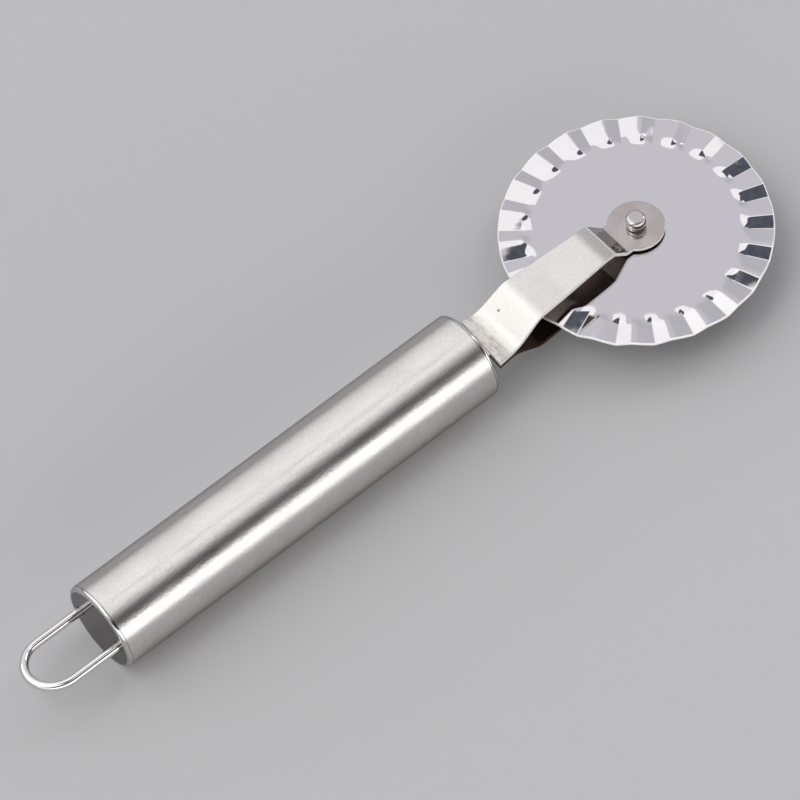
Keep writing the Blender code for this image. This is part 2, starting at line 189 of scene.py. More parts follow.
def new_steel(name, colour, roughness, edge_tint, anisotropy=0.0):
    """A new steel, as its material, node tree and shader, and the position from the hub."""
    material = bpy.data.materials.new(name)
    material.use_nodes = True
    tree = material.node_tree
    shader = tree.nodes["Principled BSDF"]
    shader.inputs["Base Color"].default_value = (*colour, 1.0)
    shader.inputs["Metallic"].default_value = 1.0
    shader.inputs["Roughness"].default_value = roughness
    shader.inputs["Specular Tint"].default_value = (*edge_tint, 1.0)
    shader.inputs["Anisotropic"].default_value = anisotropy
    coords = add(tree, "ShaderNodeTexCoord").outputs["Object"]
    position = add(tree, "ShaderNodeMapping", {"Vector": coords, "Location": tuple(-hub)}).outputs[0]
    return material, tree, shader, position


def group_value(tree, group, *feeds):
    """What a node group makes of these feeds, given in the order of its inputs."""
    node = add(tree, "ShaderNodeGroup", node_tree=group)
    for socket, value in zip(node.inputs, feeds):
        if isinstance(value, bpy.types.NodeSocket):
            tree.links.new(value, socket)
        else:
            socket.default_value = value
    return node.outputs[0]


def blended(tree, factor, first, second):
    """A colour between two colours. Each is a plain triple or a socket."""
    node = add(tree, "ShaderNodeMix", data_type="RGBA")
    for socket, value in ((node.inputs[0], factor), (node.inputs[6], first), (node.inputs[7], second)):
        if isinstance(value, bpy.types.NodeSocket):
            tree.links.new(value, socket)
        else:
            socket.default_value = (*value, 1.0) if isinstance(value, tuple) else value
    return node.outputs[2]


def bumped(tree, height, microns, normal=None):
    """A normal bent by a height of so many microns, on top of another bump where there is one."""
    feeds = {"Height": height, "Distance": microns * MICRON, "Normal": normal}
    return add(tree, "ShaderNodeBump", feeds).outputs[0]


def feed(tree, shader, **values):
    """Links values to the shader's inputs, named in lower case with _ for a space."""
    for name, value in values.items():
        tree.links.new(value, shader.inputs[name.replace("_", " ").title()])


# %% [markdown]
# ## The wheel's steel
# The disc is polished like a mirror before its rim is pressed, and shows the studio almost unbroken. Only the
# faintest smudges and hairlines cover it, and the press leaves a little orange peel on the flutes, which grows with
# the distance from the axle.

# %% Mirror steel for the wheel
PRESSED_FROM, PRESSED_TO = 0.0220, 0.0250  # the press marks the steel between these distances from the axle
mirror_steel, tree, shader, position = new_steel("mirror_steel", (0.615, 0.602, 0.626), 0.035, (0.72, 0.72, 0.74))
away = add(tree, "ShaderNodeVectorMath", (position,), operation="LENGTH").outputs["Value"]
pressed = mapped(tree, away, PRESSED_FROM, PRESSED_TO)
peel = group_value(tree, lines_group, position, (420.0, 420.0, 420.0), 1.0)
scratches = group_value(tree, hairline_group, position, 0.016, 0.35)
polish = group_value(tree, smudge_group, position, 0.012, 0.022, 0.042)
roughness = sum_of(tree, "MULTIPLY_ADD", scratches, 0.05, polish)
normal = bumped(tree, sum_of(tree, "MULTIPLY", peel, pressed), 5.0)
feed(tree, shader, roughness=roughness, normal=bumped(tree, scratches, 0.5, normal))
print("made", mirror_steel.name)

# %% [markdown]
# ## The fork's steel
# The strip has a fine mill finish that looks satin: every reflection is blurred, with a faint speckle. The bends
# were pressed between smooth tools, which burnished them, so the joggle beside the eye is shinier than the strip,
# and the flat before it a little shinier too. The flat is also painted darker, as painted shade, and a near-white
# line is painted along the crest between them, as a painted highlight where the steel is rougher. The eye is
# stained a little brown.
# Across the root lie fine brownish rolling lines, and three small specks sit on the S bend. Each zone is a range of
# the distance from the hub.

# %% Satin steel for the fork
SPECKS = [  # the place, the radius and how dark it is
    ((-0.03685, 0.00269, 0.00278), 0.00040, 0.920),
    ((-0.0386, 0.00139, 0.00163), 0.00026, 0.276),
    ((-0.0402, -0.0001, 0.0010), 0.00034, 0.230),
]
satin_steel, tree, shader, position = new_steel("satin_steel", (0.66, 0.65, 0.63), 0.3, (0.72, 0.71, 0.70))
along = add(tree, "ShaderNodeSeparateXYZ", (position,)).outputs[0]


def zone(start, end, fade_in, fade_out):
    """1 between two distances from the hub along the strip, with a soft edge inside each."""
    after, before = mapped(tree, along, start, start + fade_in), mapped(tree, along, end, end - fade_out)
    return sum_of(tree, "MULTIPLY", after, before)


def speck(spot, radius, darkness):
    """The mask of one small speck, twice as tall as it is wide."""
    aside = add(tree, "ShaderNodeVectorMath", (position, spot), operation="SUBTRACT").outputs[0]
    aside = add(tree, "ShaderNodeVectorMath", (aside, (1.0, 1.0, 0.5)), operation="MULTIPLY").outputs[0]
    away = add(tree, "ShaderNodeVectorMath", (aside,), operation="LENGTH").outputs["Value"]
    return mapped(tree, away, radius, radius * 0.4, 0.0, darkness)


# Painted shade and highlight: the flat zone is painted darker, and the crest gets a painted near-white line.
root, flat = zone(-0.0450, -0.0408, 0.0014, 0.0014), zone(-0.0144, -0.0100, 0.0024, 0.0002)
crest, joggle = zone(-0.01030, -0.00996, 0.00014, 0.00014), zone(-0.0099, -0.0062, 0.0004, 0.0004)
eye = zone(-0.0064, 0.0070, 0.0004, 0.0004)
speckle = mapped(tree, group_value(tree, lines_group, position, (2600.0, 2600.0, 2600.0), 2.0), 0.25, 0.75)
clouds = group_value(tree, smudge_group, position, 0.005, 0.0, 1.0)
patches = group_value(tree, smudge_group, position, 0.0022, 0.0, 1.0)
streaks = group_value(tree, lines_group, position, (3600.0, 420.0, 700.0), 4.0)
grit = group_value(tree, lines_group, position, (9000.0, 9000.0, 9000.0), 2.0)

tone = blended(tree, sum_of(tree, "MULTIPLY", speckle, 0.55), (0.705, 0.692, 0.670), (0.60, 0.588, 0.568))
tone = blended(tree, sum_of(tree, "MULTIPLY", clouds, 0.25), tone, (0.60, 0.588, 0.570))
rolled = mapped(tree, sum_of(tree, "MULTIPLY_ADD", patches, 0.5, streaks), 0.55, 1.05, 0.0, 0.95)
tone = blended(tree, sum_of(tree, "MULTIPLY", root, rolled), tone, (0.42, 0.362, 0.305))
tone = blended(tree, sum_of(tree, "MULTIPLY", root, 0.25), tone, (0.52, 0.49, 0.45))
roughness = sum_of(tree, "MULTIPLY_ADD", speckle, 0.04, 0.30)
mottle = sum_of(tree, "MULTIPLY_ADD", clouds, 0.6, sum_of(tree, "MULTIPLY", speckle, 0.4))
for mask, colour, rougher in (
    (eye, blended(tree, mottle, (0.515, 0.480, 0.450), (0.390, 0.355, 0.350)), -0.18),
    (joggle, (0.66, 0.64, 0.63), -0.23),
    # Painted shade: the flat before the crest is painted darker, as well as made shinier.
    (flat, blended(tree, speckle, (0.53, 0.508, 0.485), (0.47, 0.450, 0.430)), -0.12),
    # Painted highlight: a near-white line along the crest, on rougher steel.
    (crest, (0.92, 0.91, 0.90), 0.20),
):
    tone = blended(tree, mask, tone, colour)
    roughness = sum_of(tree, "MULTIPLY_ADD", mask, rougher, roughness)
for place_and_size in SPECKS:
    tone = blended(tree, speck(*place_and_size), tone, (0.12, 0.12, 0.10))
normal = bumped(tree, speckle, 1.0)
normal = bumped(tree, sum_of(tree, "MULTIPLY", grit, eye), 1.3, normal)
normal = bumped(tree, sum_of(tree, "MULTIPLY", streaks, root), 3.0, normal)
feed(tree, shader, base_color=tone, roughness=roughness, normal=normal)
print("made", satin_steel.name)

# %% [markdown]
# ## Where the fork has painted shade, and where it has a painted highlight
# Between the strips neither polish nor light gets far: their inner faces are dull and brown, a colour that is
# partly painted shade, and the lower strip's inner faces and walls are painted darker and redder still, as painted
# shade. Where a sheet was sheared or ground, the steel is rough and scatters light, so this one finish is only
# partly metallic, and its near-white colour is a painted highlight along the cut edges. The wheel's ground edge has
# it too.

# %% Dull brown steel, with painted shade, for the fork's inner faces
inner_steel, tree, shader, position = new_steel("inner_steel", (0.24, 0.20, 0.165), 0.32, (0.5, 0.45, 0.4))
height = add(tree, "ShaderNodeSeparateXYZ", (position,)).outputs[2]
stain = group_value(tree, smudge_group, position, 0.004, 0.0, 1.0)
grain = group_value(tree, lines_group, position, (3400.0, 3400.0, 3400.0), 2.0)
tone = blended(tree, stain, (0.29, 0.240, 0.200), (0.18, 0.148, 0.122))
# Painted shade: below the hub, on the lower strip, the brown is painted near black.
tone = blended(tree, mapped(tree, height, 0.0, -0.0005), tone, (0.085, 0.055, 0.045))
feed(tree, shader, base_color=tone, normal=bumped(tree, grain, 1.6))
print("made", inner_steel.name)

# %% Pale steel with a painted highlight, for a cut or ground edge
# Painted highlight: the near-white colour stands for the light caught along rough cut edges.
edge_steel, tree, shader, position = new_steel("edge_steel", (0.95, 0.94, 0.93), 0.55, (0.80, 0.80, 0.80))
shader.inputs["Metallic"].default_value = 0.4
nicks = group_value(tree, lines_group, position, (1500.0, 1500.0, 1500.0), 3.0)
tone = blended(tree, nicks, (0.97, 0.965, 0.96), (0.88, 0.875, 0.87))
feed(tree, shader, base_color=tone, normal=bumped(tree, nicks, 2.0))
print("made", edge_steel.name)

# %% [markdown]
# ## The tube's steel
# The grip was turned against a grinding belt, so its fine lines run round it. Lines in one direction spread a
# reflection across themselves: along the handle every light becomes a long even band, while round the tube the
# bands stay narrow. Anisotropy does this, with a tangent that runs round the handle's axis and is turned by a
# quarter. The marks themselves lie in layers: coarse and fine belt lines, a short grain that shows best where light
# turns to dark, a few lines drawn along the tube, and scratches. Each darkens the steel a little, bends its normal,
# or both.

# %% Brushed steel for the tube
brushed_steel, tree, shader, position = new_steel("brushed_steel", (0.73, 0.71, 0.69), 0.35, (0.52, 0.51, 0.51), 0.97)
shader.inputs["Anisotropic Rotation"].default_value = 0.25
around = add(tree, "ShaderNodeTangent", direction_type="RADIAL", axis="X").outputs[0]
coarse = group_value(tree, lines_group, position, (2400.0, 160.0, 160.0), 4.0)
fine = group_value(tree, lines_group, position, (9000.0, 90.0, 90.0), 2.0)
grain = mapped(tree, group_value(tree, lines_group, position, (4600.0, 1300.0, 1300.0), 2.0), 0.30, 0.70)
drawn = group_value(tree, lines_group, position, (70.0, 1900.0, 1900.0), 3.0)
scratches = group_value(tree, hairline_group, position, 0.009, 0.9)
tone = (0.785, 0.762, 0.738)
for marks, share, colour in (
    (coarse, 0.30, (0.71, 0.688, 0.668)), (grain, 0.42, (0.62, 0.598, 0.580)), (scratches, 0.25, (0.50, 0.485, 0.470)),
):
    tone = blended(tree, sum_of(tree, "MULTIPLY", marks, share), tone, colour)
normal = None
for marks, microns in ((coarse, 0.6), (fine, 0.4), (grain, 11.0), (scratches, 2.0), (drawn, 0.5)):
    normal = bumped(tree, marks, microns, normal)
polish = group_value(tree, smudge_group, position, 0.009, 0.31, 0.40)
roughness = sum_of(tree, "MULTIPLY_ADD", coarse, 0.04, polish)
feed(tree, shader, base_color=tone, roughness=roughness, normal=normal, tangent=around)
print("made", brushed_steel.name)

# %% [markdown]
# ## The polished steel
# The end caps, the rivet and the wire are buffed bright. They show the studio sharply, with a little softness from
# hairlines that cross in all directions and from handling. They differ only in how much light they send back and in
# how smooth they are: the wire is the brightest, and the flat plate at the handle's rear end is painted near black,
# as a painted dark reflection on the same steel.

# %% Polished steel for caps, rivet and wire
def buffed(name, colour, least, most):
    """A buffed steel whose polish varies between two roughnesses."""
    material, tree, shader, position = new_steel(name, colour, least, (0.70, 0.70, 0.70))
    scratches = group_value(tree, hairline_group, position, 0.006, 0.7)
    polish = group_value(tree, smudge_group, position, 0.006, least, most)
    roughness = sum_of(tree, "MULTIPLY_ADD", scratches, 0.10, polish)
    feed(tree, shader, roughness=roughness, normal=bumped(tree, scratches, 1.0))
    print("made", name)
    return material


polished_steel = buffed("polished_steel", (0.64, 0.63, 0.62), 0.06, 0.12)
rivet_steel = buffed("rivet_steel", (0.54, 0.522, 0.510), 0.03, 0.06)
wire_steel = buffed("wire_steel", (0.80, 0.79, 0.78), 0.05, 0.09)
# Painted reflection: the rear plate is the caps' own steel, painted near black for the dark it reflects.
plate_steel = buffed("plate_steel", (0.22, 0.21, 0.21), 0.05, 0.09)

# %% [markdown]
# ## From a bmesh to a finished piece
# Real cut edges are never perfectly sharp: a hair-thin rounding catches the light all along them. A Bevel modifier
# with hardened normals adds it where two faces meet at a steep angle, and leaves the flat faces looking flat. The
# result is kept as a plain mesh, so that no modifier is live when the piece is handed to its body.


# %% Finish a piece
MERGE_DISTANCE = 0.0000001


def settle(bm):
    """Merges doubles and makes every face point outwards."""
    bmesh.ops.remove_doubles(bm, verts=bm.verts, dist=MERGE_DISTANCE)
    bmesh.ops.recalc_face_normals(bm, faces=bm.faces)
    if bm.calc_volume(signed=True) < 0:
        bmesh.ops.reverse_faces(bm, faces=bm.faces)
    return bm


def round_edges(obj, width, segments, corner):
    """Rounds every edge where two faces meet at more than this angle."""
    bevel = obj.modifiers.new("rounded edges", "BEVEL")
    bevel.width, bevel.segments, bevel.harden_normals = width, segments, True
    bevel.limit_method, bevel.angle_limit = "ANGLE", corner


def place(name, bm, material, rounding=0.0, segments=2, corner=radians(40)):
    """An object from a bmesh that was drawn from the hub, moved to its place, with its cut edges rounded."""
    bm.transform(Matrix.Translation(hub))
    mesh = bpy.data.meshes.new(name)
    settle(bm).to_mesh(mesh)
    bm.free()
    mesh.materials.append(material)
    mesh.shade_smooth()
    obj = bpy.data.objects.new(name, mesh)
    bpy.context.scene.collection.objects.link(obj)
    if rounding:
        round_edges(obj, rounding, segments, corner)
    return baked(obj)


def baked(obj):
    """Turns what the modifiers make into a plain mesh."""
    graph = bpy.context.evaluated_depsgraph_get()
    mesh = bpy.data.meshes.new_from_object(obj.evaluated_get(graph), depsgraph=graph)
    obj.modifiers.clear()
    obj.data = mesh
    mesh.name = obj.name
    return obj


def hand_over(obj, body, slot, *nodes):
    """Gives the piece to its body, lets it stand for its CAD nodes, and prints how it fits the first one's box."""
    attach(obj, body)
    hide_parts(*nodes)
    low = [min(vertex.co[k] for vertex in obj.data.vertices) for k in range(3)]
    high = [max(vertex.co[k] for vertex in obj.data.vertices) for k in range(3)]
    cad_low, cad_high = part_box(nodes[0])
    beyond = max(max(cad_low[k] - low[k], high[k] - cad_high[k]) for k in range(3))
    print(f"{obj.name}: {len(obj.data.polygons)} faces, {beyond * 1000:+.3f} mm past its CAD box")


print("ready to build")

# %% [markdown]
# ## The fluted wheel
# The wheel is a thin disc whose rim is pressed into 22 leaning flutes, so that it crimps as it cuts. The pressed
# shape follows a rule, so Geometry Nodes make it: a finely divided flat disc goes in, and every point is lifted by
# a wave that depends on its angle, times a share that grows from 0 at the flute's nose to 1 near the rim. The wave
# climbs evenly to a crisp ridge, leaves it level and then falls steadily. The sizes are inputs of the tree, so
# another wheel needs only other numbers. The ground edge is a narrow bevel, with a band of the same pale steel,
# whose near-white colour is a painted highlight.

# %% The flat disc with its fine grid
WHEEL_RADIUS = 0.02999
WHEEL_THICKNESS = 0.0007
WHEEL_EDGE_THICKNESS = 0.0003
EDGE_BEVEL_LENGTH = 0.00016
BAND_LENGTH = 0.00012
FLUTE_COUNT = 22
FLUTE_HEIGHT = 0.000374
NOSE_RADIUS = 0.0224
FLUTE_NOSE_LENGTH = 0.0027
FLUTE_RISE_SHARE = 0.374
FLUTE_PHASE = radians(13.3)
RIDGE_EASE, VALLEY_EASE = 0.22, 0.06
AXLE_HOLE_RADIUS = 0.00188
SAMPLES_PER_FLUTE = 60
FLAT_RINGS = (0.0060, 0.0008)  # how far inside the noses the flat part's two rings lie
NOSE_RINGS, SLOPE_RINGS = 14, 5


def flat_disc():
    """The disc's two faces and its edges, as rings of points."""
    radii = [AXLE_HOLE_RADIUS] + [NOSE_RADIUS - inside for inside in FLAT_RINGS]
    radii += [NOSE_RADIUS + FLUTE_NOSE_LENGTH * k / NOSE_RINGS for k in range(NOSE_RINGS + 1)]
    land, first = WHEEL_RADIUS - EDGE_BEVEL_LENGTH, radii[-1]
    slope = land - BAND_LENGTH - first
    radii += [first + slope * k / SLOPE_RINGS for k in range(1, SLOPE_RINGS + 1)]
    radii += [land, land + EDGE_BEVEL_LENGTH / 2, WHEEL_RADIUS]
    outline = []
    for side in (1, -1):
        for ring in radii[::side]:
            past = max(ring - land, 0.0) / EDGE_BEVEL_LENGTH
            half = (WHEEL_THICKNESS + (WHEEL_EDGE_THICKNESS - WHEEL_THICKNESS) * past) / 2
            outline.append((ring, side * half))
    count = FLUTE_COUNT * SAMPLES_PER_FLUTE
    bm = bmesh.new()
    rings = []
    turns = [FLUTE_PHASE + (k - FLUTE_RISE_SHARE * SAMPLES_PER_FLUTE) * 2 * pi / count for k in range(count)]
    for ring, z in outline:
        rings.append([bm.verts.new((ring * cos(turn), ring * sin(turn), z)) for turn in turns])
    for inner, outer in zip(rings, rings[1:] + rings[:1]):
        for k in range(count):
            after = (k + 1) % count
            bm.faces.new((inner[k], outer[k], outer[after], inner[after]))
    return bm


print("flutes:", FLUTE_COUNT, "with", SAMPLES_PER_FLUTE, "points across each")


# %% The tree that presses the flutes
RIDGE_SOFTNESS, VALLEY_FLOOR = 0.04, -0.99


def flute_tree():
    """Lifts a flat disc into a wave of ridges and valleys, both counted as 1 and -1 before the height is applied."""
    inputs = [("Disc", "Geometry", None), ("Centre", "Vector", (0.0, 0.0, 0.0)), ("Flutes", "Int", 22)]
    inputs += [("Height", "Float", 0.0004), ("Rise share", "Float", 0.4), ("First ridge", "Float", 0.0)]
    inputs += [("Nose radius", "Float", 0.022), ("Nose length", "Float", 0.003)]
    inputs += [("Ridge ease", "Float", 0.2), ("Valley ease", "Float", 0.1), ("Steel", "Material", None)]
    tree, given, result = new_group("pressed flutes", "GeometryNodeTree", inputs, [("Wheel", "Geometry")])
    place_of = add(tree, "GeometryNodeInputPosition").outputs[0]
    arm = add(tree, "ShaderNodeVectorMath", (place_of, given["Centre"]), operation="SUBTRACT").outputs[0]
    flat = add(tree, "ShaderNodeVectorMath", (arm, (1.0, 1.0, 0.0)), operation="MULTIPLY").outputs[0]
    reach = add(tree, "ShaderNodeVectorMath", (flat,), operation="LENGTH").outputs["Value"]
    x, y, _ = add(tree, "ShaderNodeSeparateXYZ", (arm,)).outputs
    turn = sum_of(tree, "SUBTRACT", sum_of(tree, "ARCTAN2", y, x), given["First ridge"])
    turn = sum_of(tree, "MULTIPLY", sum_of(tree, "DIVIDE", turn, 2 * pi), given["Flutes"])
    share = sum_of(tree, "FRACT", sum_of(tree, "ADD", turn, given["Rise share"]))
    rise, ease = given["Rise share"], given["Ridge ease"]
    fall = sum_of(tree, "SUBTRACT", 1.0, rise)
    climb = sum_of(tree, "MULTIPLY_ADD", sum_of(tree, "DIVIDE", share, rise), 2.0, -1.0)
    past = sum_of(tree, "SUBTRACT", share, rise)
    steady = sum_of(tree, "MAXIMUM", sum_of(tree, "SUBTRACT", past, ease), 0.0)
    eased = sum_of(tree, "MINIMUM", sum_of(tree, "MAXIMUM", past, 0.0), ease)
    curved = sum_of(tree, "DIVIDE", sum_of(tree, "MULTIPLY", sum_of(tree, "MULTIPLY", eased, eased), 0.5), ease)
    length = sum_of(tree, "MULTIPLY_ADD", ease, -0.5, fall)
    gone = sum_of(tree, "DIVIDE", sum_of(tree, "ADD", steady, curved), length)
    drop = sum_of(tree, "MULTIPLY_ADD", gone, -2.0, 1.0)
    ridge = sum_of(tree, "SMOOTH_MIN", climb, drop, RIDGE_SOFTNESS)
    wave = sum_of(tree, "SMOOTH_MAX", ridge, VALLEY_FLOOR, given["Valley ease"])
    nose_end = sum_of(tree, "ADD", given["Nose radius"], given["Nose length"])
    depth = mapped(tree, reach, given["Nose radius"], nose_end)
    lift = sum_of(tree, "MULTIPLY", sum_of(tree, "MULTIPLY", wave, depth), given["Height"])
    offset = add(tree, "ShaderNodeCombineXYZ", {"Z": lift}).outputs[0]
    moved = add(tree, "GeometryNodeSetPosition", {"Geometry": given["Disc"], "Offset": offset}).outputs[0]
    whole = add(tree, "GeometryNodeRealizeInstances", (moved,)).outputs[0]
    steel = add(tree, "GeometryNodeSetMaterial", {"Geometry": whole, "Material": given["Steel"]}).outputs[0]
    tree.links.new(steel, result[0])
    return tree


def run_tree(obj, tree, **sizes):
    """Puts a tree on an object with its inputs set by name, and keeps the result as a plain mesh."""
    modifier = obj.modifiers.new(tree.name, "NODES")
    modifier.node_group = tree
    for item in tree.interface.items_tree:
        key = item.name.lower().replace(" ", "_")
        if item.in_out == "INPUT" and key in sizes:
            modifier[item.identifier] = sizes[key]
    return baked(obj)


wheel = place("wheel_dressed", flat_disc(), mirror_steel)
run_tree(
    wheel, flute_tree(), centre=tuple(hub), flutes=FLUTE_COUNT, height=FLUTE_HEIGHT, rise_share=FLUTE_RISE_SHARE,
    first_ridge=FLUTE_PHASE, nose_radius=NOSE_RADIUS, nose_length=FLUTE_NOSE_LENGTH, ridge_ease=RIDGE_EASE,
    valley_ease=VALLEY_EASE, steel=mirror_steel,
)
# Painted highlight: the band at the rim takes the near-white edge steel.
wheel.data.materials.append(edge_steel)
for polygon in wheel.data.polygons:
    if (polygon.center - hub).xy.length > WHEEL_RADIUS - EDGE_BEVEL_LENGTH - BAND_LENGTH:
        polygon.material_index = 1
wheel.data.set_sharp_from_angle(angle=radians(35))
hand_over(wheel, "wheel", "wheel_steel", "cutting_wheel")

# %% [markdown]
# ## The fork
# Each half of the fork is one strip, bent six times and rounded into an eye round the axle. A path gives the middle
# of the strip from the side, with an arc in place of each corner. The strip is then drawn along it: rows of points
# across its width, a ring of faces between the last row and the axle's hole, and walls between top and bottom. It
# ends before the handle in a slightly slanted cut, and a narrower tang goes on from there into the handle.

# %% The bent path
ARM_THICKNESS = 0.0009
ARM_CREST_WIDTH, ARM_FOLD_WIDTH, ARM_ROOT_WIDTH, TANG_WIDTH = 0.0096, 0.0087, 0.01388, 0.0068
EYE_RADIUS = 0.00634
FRONT_FACE_X, TANG_LENGTH, ROOT_CUT_X, ROOT_SKEW = -0.0473, 0.0120, -0.0443, 0.00052
CREST_REACH, FOLD_REACH = 0.0101, 0.0062
TANG_HEIGHT, EYE_HEIGHT = 0.0005, 0.0014
ARM_CORNERS = [
    (FRONT_FACE_X, TANG_HEIGHT), (-0.0395, TANG_HEIGHT), (-0.0326, 0.00504), (-0.0245, 0.00514),
    (-0.0128, 0.00560), (-CREST_REACH, 0.00538), (-FOLD_REACH, EYE_HEIGHT), (0.0, EYE_HEIGHT),
]
ARM_BENDS = [0.0078, 0.0050, 0.0600, 0.0200, 0.0009, 0.0009]
TANG_OVERLAP, TANG_DROP, TANG_LIFT = 0.0008, 0.00030, 0.00004
BEND_STEPS, ACROSS, EYE_STEPS = 14, 8, 72
MOST_REACH = 0.45  # the largest share of a straight stretch that one bend may take


def bent_path(corners, bend_radii):
    """A path through (x, z) corners with each inner corner rounded, as points with their normals."""
    points = [Vector(corners[0])]
    for before, corner, after, radius in zip(corners, corners[1:], corners[2:], bend_radii):
        here = Vector(corner)
        back, ahead = (Vector(before) - here), (Vector(after) - here)
        back_unit, ahead_unit = back.normalized(), ahead.normalized()
        half_opening = acos(max(-1.0, min(1.0, back_unit.dot(ahead_unit)))) / 2
        reach = min(radius / tan(half_opening), MOST_REACH * back.length, MOST_REACH * ahead.length)
        centre = here + (back_unit + ahead_unit).normalized() * (reach / cos(half_opening))
        first = here + back_unit * reach - centre
        sweep = first.angle_signed(here + ahead_unit * reach - centre)
        points += [centre + Matrix.Rotation(-sweep * k / BEND_STEPS, 2) @ first for k in range(BEND_STEPS + 1)]
    points.append(Vector(corners[-1]))
    path = []
    for k, point in enumerate(points):
        slope = (points[min(k + 1, len(points) - 1)] - points[max(k - 1, 0)]).normalized()
        path.append((point, Vector((-slope.y, slope.x))))
    return path


def half_width(x):
    """Half of the strip's width: tapered from the root to the crest, and on to the fold."""
    taper = min(max((-x - CREST_REACH) / (-FRONT_FACE_X - CREST_REACH), 0.0), 1.0)
    fold = min(max((x + CREST_REACH) / (CREST_REACH - FOLD_REACH), 0.0), 1.0)
    width = ARM_CREST_WIDTH + (ARM_ROOT_WIDTH - ARM_CREST_WIDTH) * taper
    return (width + (ARM_FOLD_WIDTH - ARM_CREST_WIDTH) * fold) / 2


print(f"{len(bent_path(ARM_CORNERS, ARM_BENDS))} points along the strip")


# %% The strip and its eye
def tang(bm, side):
    """The narrow end that goes into the handle, a little lower than the strip's outer face."""
    start_x, end_x = ROOT_CUT_X + TANG_OVERLAP, FRONT_FACE_X - TANG_LENGTH
    low, high = TANG_HEIGHT - ARM_THICKNESS / 2 + TANG_LIFT, TANG_HEIGHT + ARM_THICKNESS / 2 - TANG_DROP
    size = (start_x - end_x, TANG_WIDTH, high - low, 1)
    centre = Matrix.Translation(((start_x + end_x) / 2, 0, side * (low + high) / 2))
    bmesh.ops.create_cube(bm, size=1, matrix=centre @ Matrix.Diagonal(size))


def strip(side):
    """One half of the fork. Side is 1 above the wheel and -1 below it."""
    half_fold = ARM_FOLD_WIDTH / 2
    neck = -sqrt(EYE_RADIUS**2 - half_fold**2)
    path = [(point, normal) for point, normal in bent_path(ARM_CORNERS, ARM_BENDS)[1:] if point.x < neck]
    path.append((Vector((neck, EYE_HEIGHT)), Vector((0.0, 1.0))))
    bm = bmesh.new()
    faces = {}
    start = atan2(half_fold, neck)
    arc = [start - 2 * start * k / EYE_STEPS for k in range(1, EYE_STEPS)]
    for face in (1, -1):
        rows = []
        for point, normal in path:
            spot, half = point + normal * (face * ARM_THICKNESS / 2), half_width(point.x)
            ys = [half * (1 - 2 * k / ACROSS) for k in range(ACROSS + 1)]
            rows.append([bm.verts.new((spot.x, y, side * spot.y)) for y in ys])
        z = side * (EYE_HEIGHT + face * ARM_THICKNESS / 2)
        round_eye = [bm.verts.new((EYE_RADIUS * cos(a), EYE_RADIUS * sin(a), z)) for a in arc]
        border = rows[-1][::-1] + round_eye
        turns = [atan2(vert.co.y, vert.co.x) for vert in border]
        hole = [bm.verts.new((AXLE_HOLE_RADIUS * cos(a), AXLE_HOLE_RADIUS * sin(a), z)) for a in turns]
        for row, after in zip(rows, rows[1:]):
            for k in range(ACROSS):
                bm.faces.new((row[k], row[k + 1], after[k + 1], after[k]))
        for k in range(len(border)):
            after = (k + 1) % len(border)
            bm.faces.new((border[k], border[after], hole[after], hole[k]))
        root_z = side * (TANG_HEIGHT + face * ARM_THICKNESS / 2)
        cuts = ((ROOT_CUT_X + ROOT_SKEW, ARM_ROOT_WIDTH / 2), (ROOT_CUT_X - ROOT_SKEW, -ARM_ROOT_WIDTH / 2))
        root = [bm.verts.new((x, y, root_z)) for x, y in cuts]
        bm.faces.new(root + rows[0][::-1])
        outline = [row[0] for row in rows] + round_eye + [row[-1] for row in rows[::-1]] + root[::-1]
        faces[face] = (outline, hole)
    for top, bottom in zip(faces[1], faces[-1]):
        for k in range(len(top)):
            after = (k + 1) % len(top)
            bm.faces.new((top[k], top[after], bottom[after], bottom[k]))
    tang(bm, side)
    return bm


def paint_inside(arm, side):
    """Gives the dull steel with painted shade to inner faces and the lower strip's walls, and the pale steel with a
    painted highlight to the upper strip's walls.
    """
    arm.data.materials.append(inner_steel)
    arm.data.materials.append(edge_steel)
    for polygon in arm.data.polygons:
        outwards = polygon.normal.z * side
        if outwards < 0.5:
            polygon.material_index = 2 if side > 0 and outwards >= -0.5 else 1


for side, word in ((1, "upper"), (-1, "lower")):
    arm = place(f"fork_{word}_dressed", strip(side), satin_steel, rounding=0.00014, segments=3, corner=radians(60))
    paint_inside(arm, side)
    hand_over(arm, "handle", "arm_steel", f"fork_arm_{word}")

# %% [markdown]
# ## Turned pieces
# The rivet, the washers, the tube and the caps are all round, so each is drawn as half of its outline and turned
# about an axis. Pairs of place along the axis and radius describe it best. Where a corner is pressed round, a
# quarter of an ellipse takes its place.


# %% Turn an outline
def turned(outline, sides, along):
    """A bmesh turned from (place, radius) pairs about X or Z. An outline from the axis makes a solid, else a ring."""
    bm = bmesh.new()
    rings = []
    for spot, radius in outline:
        if radius == 0:
            rings.append([bm.verts.new((spot, 0, 0) if along == "X" else (0, 0, spot))])
            continue
        pairs = [(radius * cos(2 * pi * k / sides), radius * sin(2 * pi * k / sides)) for k in range(sides)]
        rings.append([bm.verts.new((spot, a, b) if along == "X" else (a, b, spot)) for a, b in pairs])
    around = zip(rings, rings[1:] if outline[0][1] == 0 else rings[1:] + rings[:1])
    for first, second in around:
        for k in range(sides):
            corners = (first[k % len(first)], first[(k + 1) % len(first)])
            corners += (second[(k + 1) % len(second)], second[k % len(second)])
            bm.faces.new(list(dict.fromkeys(corners)))
    return bm


def quarter_round(start, end, bulge_first, steps=10):
    """Points of a quarter ellipse between two (place, radius) pairs, without its first one."""
    points = []
    for k in range(1, steps + 1):
        turn = k / steps * pi / 2
        going, coming = sin(turn), 1 - cos(turn)
        spot_share, radius_share = (coming, going) if bulge_first else (going, coming)
        points.append((start[0] + (end[0] - start[0]) * spot_share, start[1] + (end[1] - start[1]) * radius_share))
    return points


print("a quarter round of", len(quarter_round((0, 1), (1, 0), True)), "steps")

